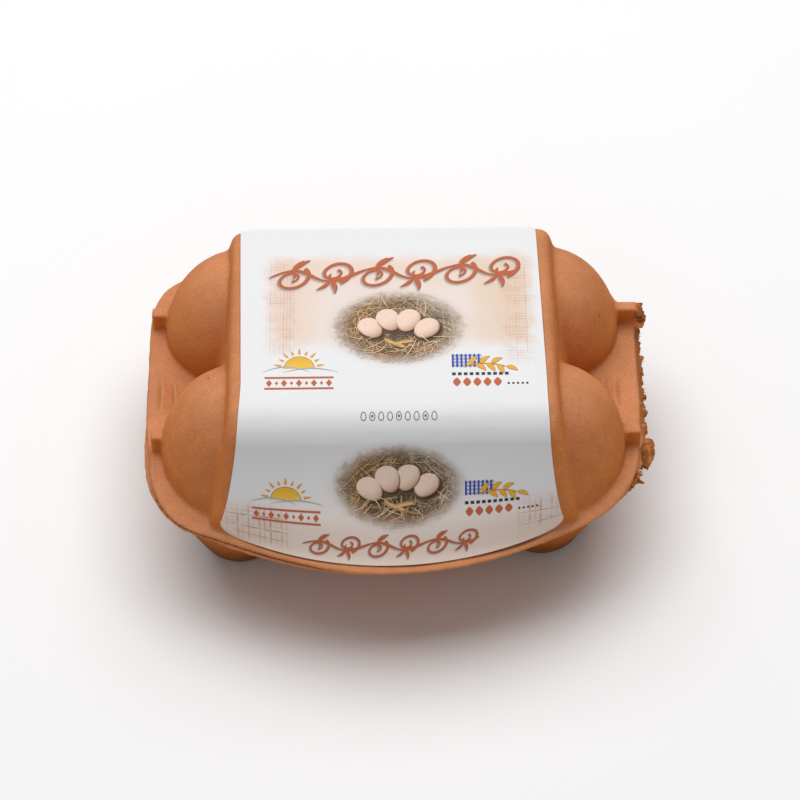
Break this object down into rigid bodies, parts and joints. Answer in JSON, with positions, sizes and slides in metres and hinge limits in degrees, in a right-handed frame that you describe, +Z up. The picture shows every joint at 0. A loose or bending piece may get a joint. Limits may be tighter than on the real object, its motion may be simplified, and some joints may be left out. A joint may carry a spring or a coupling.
{
  "type": "egg carton",
  "caption": "Shut moulded-pulp egg box with domed ends, a raised middle block, a flange all round and a printed paper label over the lid.",
  "frame": {"origin": "middle of the bounding box, on the surface that the cups stand on", "axes": "+X along the box's length to its torn side, +Y to the hinge at the back, +Z up"},
  "size_m": [0.1618, 0.1238, 0.0777],
  "materials": {
    "pulp_lid": "rough moulded pulp, terracotta brown",
    "pulp_tray": "rough moulded pulp, terracotta brown",
    "label_paper": "glossy printed paper"
  },
  "bodies": {
    "root": {"lid": "pulp_lid", "tray": "pulp_tray", "label": "label_paper"}
  },
  "joints": []
}
